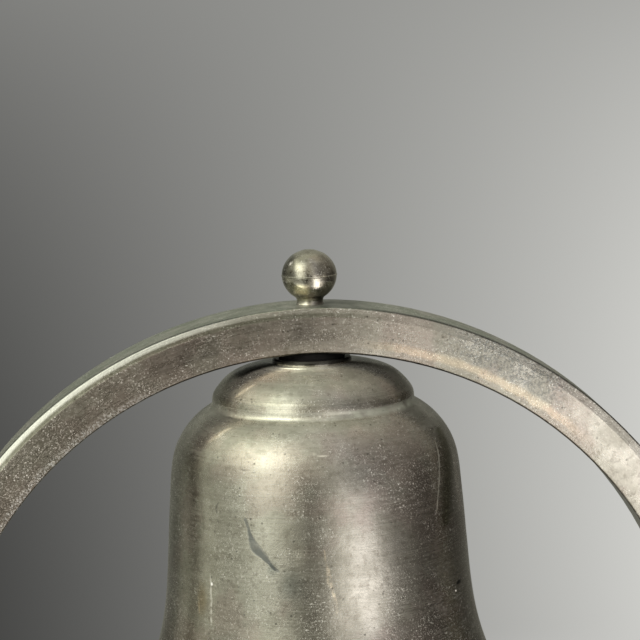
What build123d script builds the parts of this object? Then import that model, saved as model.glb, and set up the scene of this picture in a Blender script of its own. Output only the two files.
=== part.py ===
"""A counter service bell: a turned bell hung by a stud under an arch of flat bar that stands on an oblong base.

Millimetres. The origin is the middle of the underside. +Z is up, +X runs along the base from leg to leg, and the
arch stands in the XZ plane. Threads are plain cylinders. Heights inside the bell are counted from its top face
down, and heights on the clapper from the pivot down.
"""

from math import cos, radians, sin, sqrt
import os

from build123d import *

os.makedirs("parts", exist_ok=True)

# ---------------------------------------------------------------- driving dimensions
ARCH_OUTER_R = 96.0
ARCH_BAR_T = 10.4  # radial thickness of the flat bar
ARCH_BAR_D = 16.0  # front to back
SPRING_Z = 64.0  # height at which the half circle meets the straight legs

BASE_L, BASE_D = 228.0, 112.0
PAD_T, PLINTH_T, PLATE_T = 1.6, 15.0, 3.0

STUD_R = 2.5
SPACER_R, SPACER_T = 7.5, 1.6
BELL_H = 94.0

BALL_R, BALL_HALF_H = 6.2, 5.8
BALL_RISE = 6.5  # ball's centre above the crown of the arch

PIVOT_DROP = 28.5  # from the bell's top face to the clapper's pivot
STRIKER_R, STRIKER_ARM = 10.0, 61.0
KNOB_R, KNOB_ARM = 4.6, 79.0

# ---------------------------------------------------------------- fits
FIT = 0.02  # radial gap of a screw, nut or pressed piece on its own shaft
RUN = 0.06  # radial gap where one piece turns on another
END_PLAY = 0.15  # end gap beside a turning piece
SHANK_GAP = 0.2  # radial gap of a shank in a plain hole

# ---------------------------------------------------------------- heights that follow
plinth_z = PAD_T
plate_z = plinth_z + PLINTH_T
foot_z = plate_z + PLATE_T  # the legs stand here
arch_inner_r = ARCH_OUTER_R - ARCH_BAR_T
crown_z = SPRING_Z + ARCH_OUTER_R
bell_top_z = SPRING_Z + arch_inner_r - SPACER_T
pivot_z = bell_top_z - PIVOT_DROP
leg_x = ARCH_OUTER_R - ARCH_BAR_T / 2


def write(builder, label):
    """Labels a finished piece and writes it to its own STEP file."""
    builder.part.label = label
    export_step(builder.part, f"parts/{label}.step")


def upright(height):
    """The XZ plane with its origin on the bell's axis at a height: sketch x runs along +X, and y up."""
    return Plane(origin=(0, 0, height), x_dir=(1, 0, 0), z_dir=(0, -1, 0))


# ---------------------------------------------------------------- base: pad, plinth, plate and its screws
PAD_INSET = 4.0
PLINTH_TOP_R, PLINTH_FOOT_C = 3.5, 1.0
PLATE_INSET, PLATE_EDGE_R = 6.0, 1.2

LEG_SCREW_R, LEG_SCREW_GRIP = 2.5, 12.0
LEG_HEAD_R, LEG_HEAD_T = 4.4, 3.0
LEG_WASHER_R, LEG_WASHER_T = 5.2, 1.0
LEG_BORE_R, LEG_BORE_DEPTH = 5.8, 5.6
SCREW_SLOT_W, SCREW_SLOT_DEPTH = 1.0, 1.2

PLATE_SCREW_X, PLATE_SCREW_Y = 62.0, 40.0
PLATE_SCREW_R, PLATE_SCREW_L = 1.5, 12.0
PLATE_HEAD_R, PLATE_HEAD_DOME, PLATE_HEAD_SINK = 3.0, 0.7, 1.5
PLATE_SLOT_ANGLES = (25.0, 110.0, -40.0, 70.0)

with BuildPart() as base_pad:
    with BuildSketch(Plane.XY):
        SlotOverall(BASE_L - 2 * PAD_INSET, BASE_D - 2 * PAD_INSET)
    extrude(amount=PAD_T)
write(base_pad, "base_pad")

with BuildPart() as base_plinth:
    with BuildSketch(Plane.XY.offset(plinth_z)):
        SlotOverall(BASE_L, BASE_D)
    extrude(amount=PLINTH_T)
    fillet(base_plinth.faces().sort_by(Axis.Z)[-1].edges(), radius=PLINTH_TOP_R)
    chamfer(base_plinth.faces().sort_by(Axis.Z)[0].edges(), length=PLINTH_FOOT_C)
    with BuildSketch(Plane.XY.offset(plinth_z)):
        with GridLocations(2 * leg_x, 1, 2, 1):
            Circle(LEG_BORE_R)
    extrude(amount=LEG_BORE_DEPTH, mode=Mode.SUBTRACT)
    with BuildSketch(Plane.XY.offset(plinth_z)):
        with GridLocations(2 * leg_x, 1, 2, 1):
            Circle(LEG_SCREW_R + SHANK_GAP)
    extrude(amount=PLINTH_T, mode=Mode.SUBTRACT)
    with BuildSketch(Plane.XY.offset(plate_z)):
        with GridLocations(2 * PLATE_SCREW_X, 2 * PLATE_SCREW_Y, 2, 2):
            Circle(PLATE_SCREW_R + FIT)
    extrude(amount=-PLATE_SCREW_L, mode=Mode.SUBTRACT)
write(base_plinth, "base_plinth")

with BuildPart() as base_plate:
    with BuildSketch(Plane.XY.offset(plate_z)):
        SlotOverall(BASE_L - 2 * PLATE_INSET, BASE_D - 2 * PLATE_INSET)
    extrude(amount=PLATE_T)
    fillet(base_plate.faces().sort_by(Axis.Z)[-1].edges(), radius=PLATE_EDGE_R)
    with BuildSketch(Plane.XY.offset(plate_z)):
        with GridLocations(2 * leg_x, 1, 2, 1):
            Circle(LEG_SCREW_R + SHANK_GAP)
    extrude(amount=PLATE_T, mode=Mode.SUBTRACT)
    with Locations((0, 0, foot_z)):
        with GridLocations(2 * PLATE_SCREW_X, 2 * PLATE_SCREW_Y, 2, 2):
            CounterSinkHole(PLATE_SCREW_R + SHANK_GAP, PLATE_HEAD_R + SHANK_GAP)
write(base_plate, "base_plate")

# One raised-head wood screw, head up, with the plate's top face at Z = 0.
with BuildPart() as plate_screw:
    with BuildSketch(Plane.XZ):
        with BuildLine():
            TangentArc((0, PLATE_HEAD_DOME), (PLATE_HEAD_R, -SHANK_GAP / 2), tangent=(1, 0))
            Polyline(
                (PLATE_HEAD_R, -SHANK_GAP / 2),
                (PLATE_SCREW_R, -PLATE_HEAD_SINK - SHANK_GAP / 2),
                (PLATE_SCREW_R, -PLATE_SCREW_L + 3),
                (0, -PLATE_SCREW_L),
                (0, PLATE_HEAD_DOME),
            )
        make_face()
    revolve(axis=Axis.Z)
    with BuildSketch(Plane.XY.offset(PLATE_HEAD_DOME)):
        Rectangle(2 * PLATE_HEAD_R + 1, SCREW_SLOT_W * 0.8)
    extrude(amount=-SCREW_SLOT_DEPTH, mode=Mode.SUBTRACT)

with BuildPart() as plate_screws:
    corners = GridLocations(2 * PLATE_SCREW_X, 2 * PLATE_SCREW_Y, 2, 2)
    for corner, turn in zip(corners, PLATE_SLOT_ANGLES):
        spot = Pos(0, 0, foot_z) * corner * Rot(0, 0, turn)
        add(plate_screw.part.moved(spot))
write(plate_screws, "plate_screws")

# ---------------------------------------------------------------- arch, its foot collars and the screws up into it
BEVEL_W, BEVEL_SINK = 2.1, 0.35  # the bar's faces fall away a little towards its outer edge
OUTER_EDGE_R, INNER_EDGE_R = 0.45, 0.6
COLLAR_MARGIN, COLLAR_H, COLLAR_TOP_R = 4.6, 5.0, 1.6
COLLAR_GAP = 0.05  # between a collar and its leg

with BuildPart() as arch_bar:
    with BuildLine(Plane.XZ) as arch_path:
        Line((-leg_x, foot_z), (-leg_x, SPRING_Z))
        JernArc((-leg_x, SPRING_Z), (0, 1), leg_x, -180)
        Line((leg_x, SPRING_Z), (leg_x, foot_z))
    with BuildSketch(Plane.XY.offset(foot_z)) as bar_section:
        with BuildLine():
            outer_x = -leg_x - ARCH_BAR_T / 2
            half_d = ARCH_BAR_D / 2
            Polyline(
                (outer_x, 0),
                (outer_x, half_d - BEVEL_SINK),
                (outer_x + BEVEL_W, half_d),
                (outer_x + ARCH_BAR_T, half_d),
                (outer_x + ARCH_BAR_T, 0),
            )
            mirror(about=Plane.XZ)
        make_face()
        fillet(bar_section.vertices().group_by(Axis.X)[0], radius=OUTER_EDGE_R)
        fillet(bar_section.vertices().group_by(Axis.X)[-1], radius=INNER_EDGE_R)
    sweep(path=arch_path.wire())
    with BuildSketch(Plane.XY.offset(SPRING_Z)):
        Circle(STUD_R + SHANK_GAP)
    extrude(amount=ARCH_OUTER_R + 1, mode=Mode.SUBTRACT)
    with BuildSketch(Plane.XY.offset(foot_z)):
        with GridLocations(2 * leg_x, 1, 2, 1):
            Circle(LEG_SCREW_R + FIT)
    extrude(amount=LEG_SCREW_GRIP + 1, mode=Mode.SUBTRACT)
write(arch_bar, "arch_bar")

for side, name in ((-1, "leg_collar_left"), (1, "leg_collar_right")):
    with BuildPart() as leg_collar:
        with BuildSketch(Plane.XY.offset(foot_z)):
            with Locations((side * leg_x, 0)):
                RectangleRounded(ARCH_BAR_T + 2 * COLLAR_MARGIN, ARCH_BAR_D + 2 * COLLAR_MARGIN, 3.0)
        extrude(amount=COLLAR_H)
        fillet(leg_collar.faces().sort_by(Axis.Z)[-1].edges(), radius=COLLAR_TOP_R)
        with BuildSketch(Plane.XY.offset(foot_z)):
            with Locations((side * leg_x, 0)):
                Rectangle(ARCH_BAR_T + 2 * COLLAR_GAP, ARCH_BAR_D + 2 * COLLAR_GAP)
        extrude(amount=COLLAR_H, mode=Mode.SUBTRACT)
    write(leg_collar, name)

leg_bore_z = plinth_z + LEG_BORE_DEPTH  # roof of the bore that hides a leg screw's head
leg_head_z = leg_bore_z - LEG_WASHER_T

with BuildPart() as leg_washers:
    with BuildSketch(Plane.XY.offset(leg_head_z)):
        with GridLocations(2 * leg_x, 1, 2, 1):
            Circle(LEG_WASHER_R)
            Circle(LEG_SCREW_R + SHANK_GAP, mode=Mode.SUBTRACT)
    extrude(amount=LEG_WASHER_T)
write(leg_washers, "leg_washers")

with BuildPart() as leg_screws:
    with BuildSketch(Plane.XY.offset(leg_head_z)):
        with GridLocations(2 * leg_x, 1, 2, 1):
            Circle(LEG_SCREW_R)
    extrude(amount=foot_z + LEG_SCREW_GRIP - leg_head_z)
    with BuildSketch(Plane.XY.offset(leg_head_z - LEG_HEAD_T)):
        with GridLocations(2 * leg_x, 1, 2, 1):
            Circle(LEG_HEAD_R)
    extrude(amount=LEG_HEAD_T)
    fillet(leg_screws.faces().filter_by(Axis.Z).group_by(Axis.Z)[0].edges(), radius=0.8)
    with BuildSketch(Plane.XY.offset(leg_head_z - LEG_HEAD_T)):
        with GridLocations(2 * leg_x, 1, 2, 1):
            Rectangle(2 * LEG_HEAD_R + 1, SCREW_SLOT_W)
    extrude(amount=SCREW_SLOT_DEPTH, mode=Mode.SUBTRACT)
write(leg_screws, "leg_screws")

# ---------------------------------------------------------------- bell
BOSS_R, BOSS_H = 9.0, 1.1
GROOVE_R, GROOVE_DROP = 22.95, 10.7  # the step between the crown and the shoulder
LIP_R, LIP_BAND = 54.2, 1.2
CROWN_WALL = 4.4  # thickness where the stud passes

with BuildPart() as bell_shell:
    with BuildSketch(upright(bell_top_z)):
        with BuildLine():
            Polyline(
                (STUD_R + SHANK_GAP, -CROWN_WALL),
                (STUD_R + SHANK_GAP, 0),
                (BOSS_R - 0.4, 0),
                (BOSS_R, -0.4),
                (BOSS_R, -BOSS_H),
            )
            Spline(
                (BOSS_R, -BOSS_H),
                (15.0, -2.0),
                (19.4, -4.0),
                (22.2, -7.0),
                (GROOVE_R, -GROOVE_DROP + 1.4),
                tangents=[(1, -0.02), (0.05, -1)],
            )
            ThreePointArc(
                (GROOVE_R, -GROOVE_DROP + 1.4),
                (GROOVE_R + 0.3, -GROOVE_DROP + 0.35),
                (GROOVE_R + 1.15, -GROOVE_DROP - 0.3),
            )
            Spline(
                (GROOVE_R + 1.15, -GROOVE_DROP - 0.3),
                (28.8, -15.0),
                (31.7, -20.0),
                (33.1, -28.0),
                (34.3, -44.0),
                (35.5, -56.5),
                (38.0, -67.0),
                (42.4, -77.0),
                (48.0, -85.6),
                (LIP_R, -BELL_H + LIP_BAND),
            )
            Polyline(
                (LIP_R, -BELL_H + LIP_BAND),
                (LIP_R - 0.2, -BELL_H + 0.3),
                (LIP_R - 0.6, -BELL_H),
                (LIP_R - 3.4, -BELL_H),
                (LIP_R - 3.9, -BELL_H + 0.5),
            )
            Spline(
                (LIP_R - 3.9, -BELL_H + 0.5),
                (44.6, -86.2),
                (39.5, -78.0),
                (35.6, -68.0),
                (33.2, -57.0),
                (32.0, -44.0),
                (30.9, -28.6),
                (29.4, -20.8),
                (27.0, -16.8),
                (20.6, -10.4),
                (17.6, -5.9),
                (12.0, -CROWN_WALL),
            )
            Line((12.0, -CROWN_WALL), (STUD_R + SHANK_GAP, -CROWN_WALL))
        make_face()
    revolve(axis=Axis.Z)
write(bell_shell, "bell_shell")

# ---------------------------------------------------------------- ball finial, hanger stud and what it clamps
NECK_FOOT_R, NECK_WAIST_R = 3.2, 2.95
SEAM_H, SEAM_OUT = 0.36, 0.1  # the fine raised seam round the ball
STUD_TIP_DROP = 22.8  # end of the stud below the bell's top face
CUSHION_R, CUSHION_T = 8.0, 1.6
CROWN_WASHER_R, CROWN_WASHER_T = 6.5, 1.2
NUT_AF, NUT_T, THIN_NUT_T = 8.0, 4.0, 2.7
THRUST_R, THRUST_T = 4.6, 0.8
FORK_BRIDGE_T = 3.6

ball_z = crown_z + BALL_RISE
cushion_z = bell_top_z - CROWN_WALL
crown_washer_z = cushion_z - CUSHION_T
crown_nut_z = crown_washer_z - CROWN_WASHER_T
thrust_z = crown_nut_z - NUT_T
fork_z = thrust_z - THRUST_T - END_PLAY
swivel_nut_z = fork_z - FORK_BRIDGE_T - END_PLAY
lock_nut_z = swivel_nut_z - THIN_NUT_T


def write_ring(label, top_z, thickness, radius, edge=0.0):
    """Makes and writes a flat ring on the stud, with its rims chamfered by edge."""
    with BuildPart() as piece:
        with BuildSketch(Plane.XY.offset(top_z)):
            Circle(radius)
            Circle(STUD_R + FIT, mode=Mode.SUBTRACT)
        extrude(amount=-thickness)
        if edge:
            rims = piece.edges().filter_by(GeomType.CIRCLE).group_by(SortBy.RADIUS)[-1]
            chamfer(rims, length=edge)
    write(piece, label)


def write_nut(label, top_z, thickness, across_flats, bore_r):
    """Makes and writes a hexagon nut round the bell's axis, with its corners turned off at both faces."""
    flat = across_flats / 2
    corner = across_flats / sqrt(3)
    turned = (corner - flat) * 0.6
    with BuildPart() as piece:
        with BuildSketch(Plane.XY.offset(top_z)):
            RegularPolygon(corner, 6)
            Circle(bore_r, mode=Mode.SUBTRACT)
        extrude(amount=-thickness)
        with BuildSketch(upright(top_z)):
            with BuildLine():
                Polyline(
                    (0, 0),
                    (flat, 0),
                    (corner, -turned),
                    (corner, turned - thickness),
                    (flat, -thickness),
                    (0, -thickness),
                    close=True,
                )
            make_face()
        revolve(axis=Axis.Z, mode=Mode.INTERSECT)
    write(piece, label)


def ball_point(degrees_up):
    """A point of the ball's slightly flattened outline, by its angle above the seam."""
    return (BALL_R * cos(radians(degrees_up)), BALL_HALF_H * sin(radians(degrees_up)))


with BuildPart() as finial_ball:
    with BuildSketch(upright(ball_z)):
        with BuildLine():
            upper = Spline(*[ball_point(angle) for angle in (2, 16, 31, 46, 60, 75, 90)], tangents=[(0, 1), (-1, 0)])
            lower = Spline(*[ball_point(angle) for angle in (-57, -45, -30, -16, -2)])
            Polyline(
                lower @ 1,
                (BALL_R + SEAM_OUT, -SEAM_H / 4),
                (BALL_R + SEAM_OUT, SEAM_H / 4),
                upper @ 0,
            )
            ThreePointArc(
                (NECK_FOOT_R, -BALL_RISE),
                (NECK_WAIST_R, ((lower @ 0).Y - BALL_RISE) / 2),
                lower @ 0,
            )
            Polyline(
                (NECK_FOOT_R, -BALL_RISE),
                (STUD_R + FIT, -BALL_RISE),
                (STUD_R + FIT, -0.5),
                (0, -0.5),
                upper @ 1,
            )
        make_face()
    revolve(axis=Axis.Z)
write(finial_ball, "finial_ball")

with BuildPart() as hanger_stud:
    with BuildSketch(Plane.XY.offset(bell_top_z - STUD_TIP_DROP)):
        Circle(STUD_R)
    extrude(amount=ball_z - 1 - bell_top_z + STUD_TIP_DROP)
    chamfer(hanger_stud.faces().filter_by(Axis.Z).edges(), length=0.5)
write(hanger_stud, "hanger_stud")

# The black washer between bell and arch is hollowed on top to sit against the round inside of the arch.
with BuildPart() as spacer_washer:
    with BuildSketch(Plane.XY.offset(bell_top_z)):
        Circle(SPACER_R)
        Circle(STUD_R + FIT, mode=Mode.SUBTRACT)
    extrude(amount=SPACER_T)
    with BuildSketch(upright(SPRING_Z)):
        Circle(arch_inner_r - FIT)
    extrude(amount=SPACER_R + 1, both=True, mode=Mode.INTERSECT)
write(spacer_washer, "spacer_washer")

write_ring("cushion_washer", cushion_z, CUSHION_T, CUSHION_R)
write_ring("crown_washer", crown_washer_z, CROWN_WASHER_T, CROWN_WASHER_R, edge=0.25)
write_nut("crown_nut", crown_nut_z, NUT_T, NUT_AF, STUD_R + FIT)
write_ring("thrust_washer", thrust_z, THRUST_T, THRUST_R)
write_nut("swivel_nut", swivel_nut_z, THIN_NUT_T, NUT_AF, STUD_R + FIT)
write_nut("swivel_lock_nut", lock_nut_z, THIN_NUT_T, NUT_AF, STUD_R + FIT)

# ---------------------------------------------------------------- fork that turns on the stud, and its pivot pin
FORK_W, ARM_GAP, ARM_T = 8.0, 10.6, 2.4
PIN_R, PIN_HEAD_R, PIN_HEAD_T = 1.5, 2.6, 1.0
PIN_GROOVE_R, CLIP_T, CLIP_R, PIN_TAIL = 1.15, 0.5, 2.7, 0.9

arm_out_y = ARM_GAP / 2 + ARM_T
groove_y = arm_out_y + END_PLAY / 2

with BuildPart() as clapper_fork:
    with BuildSketch(Plane.YZ):
        arm_low_z = pivot_z - FORK_W / 2
        with Locations((0, fork_z)):
            Rectangle(2 * arm_out_y, fork_z - arm_low_z, align=(Align.CENTER, Align.MAX))
        fillet(vertices().group_by(Axis.Z)[-1], radius=2.2)
        with Locations((0, fork_z - FORK_BRIDGE_T)):
            Rectangle(ARM_GAP, fork_z - arm_low_z, align=(Align.CENTER, Align.MAX), mode=Mode.SUBTRACT)
    extrude(amount=FORK_W / 2, both=True)
    with BuildSketch(upright(pivot_z)):
        Circle(FORK_W / 2)
        Rectangle(FORK_W, fork_z - pivot_z, align=(Align.CENTER, Align.MIN))
        Circle(PIN_R + FIT, mode=Mode.SUBTRACT)
    extrude(amount=arm_out_y, both=True, mode=Mode.INTERSECT)
    with BuildSketch(Plane.XY.offset(fork_z)):
        Circle(STUD_R + RUN)
    extrude(amount=-FORK_BRIDGE_T, mode=Mode.SUBTRACT)
write(clapper_fork, "clapper_fork")

# The pin lies along Y. Its plane's local z points to -Y, so lengths towards +Y are negative.
with BuildPart() as pivot_pin:
    with BuildSketch(upright(pivot_z)):
        Circle(PIN_R)
    extrude(amount=arm_out_y)
    with BuildSketch(upright(pivot_z)):
        Circle(PIN_R)
    extrude(amount=-(groove_y + CLIP_T + PIN_TAIL))
    with BuildSketch(upright(pivot_z).offset(arm_out_y)):
        Circle(PIN_HEAD_R)
    extrude(amount=PIN_HEAD_T)
    fillet(pivot_pin.faces().sort_by(Axis.Y)[0].edges(), radius=0.5)
    chamfer(pivot_pin.faces().sort_by(Axis.Y)[-1].edges(), length=0.3)
    with BuildSketch(upright(pivot_z).offset(-groove_y)):
        Circle(PIN_R)
        Circle(PIN_GROOVE_R, mode=Mode.SUBTRACT)
    extrude(amount=-CLIP_T, mode=Mode.SUBTRACT)
write(pivot_pin, "pivot_pin")

with BuildPart() as pin_clip:
    with BuildSketch(upright(pivot_z).offset(-groove_y)):
        Circle(CLIP_R)
        Circle(PIN_GROOVE_R + FIT, mode=Mode.SUBTRACT)
        Rectangle(1.7 * PIN_GROOVE_R, CLIP_R + 1, align=(Align.CENTER, Align.MAX), mode=Mode.SUBTRACT)
    extrude(amount=-CLIP_T)
write(pin_clip, "pin_clip")

# ---------------------------------------------------------------- clapper
BUSH_R = 3.0
EYE_R, EYE_T = 4.6, 4.4
ROD_TOP_R, ROD_LOW_R, TAIL_R = 2.3, 1.9, 2.0
SHOULDER_R, SHOULDER_T = 3.3, 1.6
STRIKER_HALF_H = 9.4  # the striker is a ball with a small flat above and below
JAM_NUT_AF, JAM_NUT_T = 7.0, 3.0
KNOB_NECK_R, KNOB_NECK_H = 2.8, 1.1
KNOB_HALF_H = 4.2

with BuildPart() as clapper_bush:
    bush_half = ARM_GAP / 2 - END_PLAY
    with BuildSketch(upright(pivot_z)):
        Circle(BUSH_R)
        Circle(PIN_R + RUN, mode=Mode.SUBTRACT)
    extrude(amount=bush_half, both=True)
write(clapper_bush, "clapper_bush")

with BuildPart() as clapper_rod:
    shoulder_drop = STRIKER_ARM - STRIKER_HALF_H
    with BuildSketch(upright(pivot_z)):
        with BuildLine():
            Polyline(
                (0, -2),
                (ROD_TOP_R, -2),
                (ROD_TOP_R, -EYE_R - 1),
                (ROD_LOW_R, -shoulder_drop + SHOULDER_T + 1),
                (SHOULDER_R - 0.4, -shoulder_drop + SHOULDER_T),
                (SHOULDER_R, -shoulder_drop + SHOULDER_T - 0.4),
                (SHOULDER_R, -shoulder_drop),
                (TAIL_R, -shoulder_drop),
                (TAIL_R, -KNOB_ARM),
                (0, -KNOB_ARM),
                close=True,
            )
        make_face()
    revolve(axis=Axis.Z)
    with BuildSketch(upright(pivot_z)):
        Circle(EYE_R)
    extrude(amount=EYE_T / 2, both=True)
    with BuildSketch(upright(pivot_z)):
        Circle(BUSH_R + FIT)
    extrude(amount=EYE_T, both=True, mode=Mode.SUBTRACT)
write(clapper_rod, "clapper_rod")

with BuildPart() as striker:
    with BuildSketch(upright(pivot_z - STRIKER_ARM)):
        Circle(STRIKER_R)
        Rectangle(2 * STRIKER_R, 2 * STRIKER_HALF_H, mode=Mode.INTERSECT)
        with Locations((TAIL_R + FIT, 0)):
            Rectangle(4 * STRIKER_R, 3 * STRIKER_R, align=(Align.MAX, Align.CENTER), mode=Mode.SUBTRACT)
    revolve(axis=Axis.Z)
write(striker, "striker")

striker_nut_z = pivot_z - STRIKER_ARM - STRIKER_HALF_H
write_nut("striker_nut", striker_nut_z, JAM_NUT_T, JAM_NUT_AF, TAIL_R + FIT)

with BuildPart() as finger_knob:
    with BuildSketch(upright(pivot_z - KNOB_ARM)):
        Circle(KNOB_R)
        with Locations((0, KNOB_HALF_H + KNOB_NECK_H)):
            Rectangle(2 * KNOB_NECK_R, KNOB_HALF_H, align=(Align.CENTER, Align.MAX))
        Rectangle(2 * KNOB_R, 3 * KNOB_R, align=(Align.MAX, Align.CENTER), mode=Mode.SUBTRACT)
    revolve(axis=Axis.Z)
    with BuildSketch(Plane.XY.offset(pivot_z - KNOB_ARM)):
        Circle(TAIL_R + FIT)
    extrude(amount=KNOB_R + KNOB_NECK_H, mode=Mode.SUBTRACT)
write(finger_knob, "finger_knob")
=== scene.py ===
import math

import bpy
from mathutils import Matrix, Vector


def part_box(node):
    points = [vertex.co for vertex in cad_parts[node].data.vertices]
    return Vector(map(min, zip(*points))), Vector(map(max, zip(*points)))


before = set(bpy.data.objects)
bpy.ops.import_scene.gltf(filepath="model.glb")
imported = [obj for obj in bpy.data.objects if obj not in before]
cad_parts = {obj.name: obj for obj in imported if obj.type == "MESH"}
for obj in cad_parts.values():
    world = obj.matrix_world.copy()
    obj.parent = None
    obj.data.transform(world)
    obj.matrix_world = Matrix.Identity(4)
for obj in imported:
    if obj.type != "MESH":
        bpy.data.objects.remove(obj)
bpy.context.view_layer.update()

# Looks of the service bell. Everything is in metres, in the CAD frame: +Z up, the arch in the XZ plane.
MM = 0.001

# ---------------------------------------------------------------- places that follow from the frame
arch_low, arch_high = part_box("arch_bar")
ARCH_R = (arch_high.x - arch_low.x) / 2
SPRING_Z = arch_high.z - ARCH_R
BAR_FRONT_Y = arch_low.y
BALL_TOP_ABOVE_SEAM = 5.8 * MM
BALL_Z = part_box("finial_ball")[1].z - BALL_TOP_ABOVE_SEAM


# ---------------------------------------------------------------- a small language for shader nodes
class Graph:
    """A material being wired. Sockets and plain values are given alike."""

    def __init__(self, name):
        self.material = bpy.data.materials.new(name)
        self.material.use_nodes = True
        self.tree = self.material.node_tree
        self.tree.nodes.clear()
        self.shader = self.node("ShaderNodeBsdfPrincipled")
        self.output = self.node("ShaderNodeOutputMaterial")
        self.tree.links.new(self.shader.outputs[0], self.output.inputs[0])
        coordinates = self.node("ShaderNodeTexCoord")
        self.place = coordinates.outputs["Object"]
        self.normal = coordinates.outputs["Normal"]

    def node(self, kind, **settings):
        made = self.tree.nodes.new(kind)
        for key, value in settings.items():
            setattr(made, key, value)
        return made

    def put(self, socket, value):
        if isinstance(value, bpy.types.NodeSocket):
            self.tree.links.new(value, socket)
        elif isinstance(value, (tuple, list)) and len(value) == 3 and socket.type == "RGBA":
            socket.default_value = (*value, 1.0)
        else:
            socket.default_value = value

    def set(self, **values):
        for key, value in values.items():
            self.put(self.shader.inputs[key.replace("_", " ")], value)

    def math(self, operation, a, b=0.0, clamp=False):
        made = self.node("ShaderNodeMath", operation=operation, use_clamp=clamp)
        self.put(made.inputs[0], a)
        self.put(made.inputs[1], b)
        return made.outputs[0]

    def times(self, a, b):
        return self.math("MULTIPLY", a, b)

    def plus(self, a, b):
        return self.math("ADD", a, b)

    def most(self, a, b):
        return self.math("MAXIMUM", a, b)

    def band(self, value, low, high, to_low=0.0, to_high=1.0):
        """0 below low and 1 above high, smooth between; low may be above high."""
        made = self.node("ShaderNodeMapRange", interpolation_type="SMOOTHSTEP")
        for socket, number in zip(made.inputs, (value, low, high, to_low, to_high)):
            self.put(socket, number)
        return made.outputs[0]

    def mix(self, factor, a, b):
        made = self.node("ShaderNodeMix", data_type="RGBA")
        for index, value in ((0, factor), (6, a), (7, b)):
            self.put(made.inputs[index], value)
        return made.outputs[2]

    def blend(self, factor, a, b):
        made = self.node("ShaderNodeMix", data_type="FLOAT")
        for index, value in ((0, factor), (2, a), (3, b)):
            self.put(made.inputs[index], value)
        return made.outputs[0]

    def vector(self, x, y, z):
        made = self.node("ShaderNodeCombineXYZ")
        for socket, value in zip(made.inputs, (x, y, z)):
            self.put(socket, value)
        return made.outputs[0]

    def parts(self, vector):
        made = self.node("ShaderNodeSeparateXYZ")
        self.put(made.inputs[0], vector)
        return made.outputs[0], made.outputs[1], made.outputs[2]

    def scaled(self, vector, x, y, z):
        made = self.node("ShaderNodeVectorMath", operation="MULTIPLY")
        self.put(made.inputs[0], vector)
        self.put(made.inputs[1], (x, y, z))
        return made.outputs[0]

    def moved(self, vector, x, y, z):
        made = self.node("ShaderNodeVectorMath", operation="ADD")
        self.put(made.inputs[0], vector)
        self.put(made.inputs[1], (x, y, z))
        return made.outputs[0]

    def noise(self, vector, scale, detail=2.0, roughness=0.5, distortion=0.0):
        made = self.node("ShaderNodeTexNoise")
        self.put(made.inputs["Vector"], vector)
        self.put(made.inputs["Scale"], scale)
        self.put(made.inputs["Detail"], detail)
        self.put(made.inputs["Roughness"], roughness)
        self.put(made.inputs["Distortion"], distortion)
        return made.outputs[0]

    def specks(self, vector, scale, size, share):
        """Round specks in a share of the cells of a Voronoi pattern; size is a share of a cell."""
        made = self.node("ShaderNodeTexVoronoi", feature="F1")
        self.put(made.inputs["Vector"], vector)
        self.put(made.inputs["Scale"], scale)
        chosen = self.band(self.parts(made.outputs["Color"])[0], share, share * 0.9)
        return self.times(self.band(made.outputs["Distance"], size, size * 0.4), chosen)

    def curve(self, value, points):
        """A smooth curve through (from, to) points, both from 0 to 1."""
        made = self.node("ShaderNodeFloatCurve")
        self.put(made.inputs["Value"], value)
        line = made.mapping.curves[0]
        line.points[0].location = points[0]
        line.points[1].location = points[-1]
        for point in points[1:-1]:
            line.points.new(*point)
        made.mapping.update()
        return made.outputs[0]

    def bump(self, height, strength, distance, normal=None):
        made = self.node("ShaderNodeBump")
        self.put(made.inputs["Strength"], strength)
        self.put(made.inputs["Distance"], distance)
        self.put(made.inputs["Height"], height)
        if normal is not None:
            self.put(made.inputs["Normal"], normal)
        return made.outputs[0]


def dress(material, *nodes):
    """Gives CAD nodes a material in place of their plain ones."""
    for name in nodes:
        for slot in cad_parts[name].material_slots:
            slot.material = material


# ---------------------------------------------------------------- metals
NICKEL_LIGHT = (0.60, 0.565, 0.485)
NICKEL_DULL = (0.40, 0.375, 0.31)
NICKEL_WARM = (0.47, 0.405, 0.35)
PATINA = (0.20, 0.225, 0.165)
PATINA_DARK = (0.085, 0.10, 0.065)
DUST = (0.90, 0.88, 0.80)
STAIN = (0.24, 0.21, 0.165)
LINE_DARK = (0.20, 0.18, 0.145)
PIT = (0.05, 0.045, 0.035)
SCRATCH_SHARE, LINE_SHARE = 0.09, 0.10
PIT_SHARE = 0.6
WARM_SHARE = 0.8
METAL_BUMP, METAL_BUMP_DEPTH = 0.32, 0.06 * MM


class Finish:
    """What a metal's marks may still change before it is wired up."""

    def __init__(self, colour, roughness, metallic, relief):
        self.colour = colour
        self.roughness = roughness
        self.metallic = metallic
        self.relief = relief
        self.tilt = None

    def shade(self, g, mask, factor):
        """Darkens or lightens by a factor where the mask is."""
        grey = (factor, factor, factor) if isinstance(factor, float) else factor
        scaled = g.node("ShaderNodeVectorMath", operation="MULTIPLY")
        g.put(scaled.inputs[0], self.colour)
        g.put(scaled.inputs[1], grey)
        self.colour = g.mix(mask, self.colour, scaled.outputs[0])

    def coat(self, g, mask, colour, roughness):
        """Lays a dull deposit of a colour where the mask is."""
        self.colour = g.mix(mask, self.colour, colour)
        self.roughness = g.blend(mask, self.roughness, roughness)
        self.metallic = g.times(self.metallic, g.math("SUBTRACT", 1.0, mask))


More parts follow.
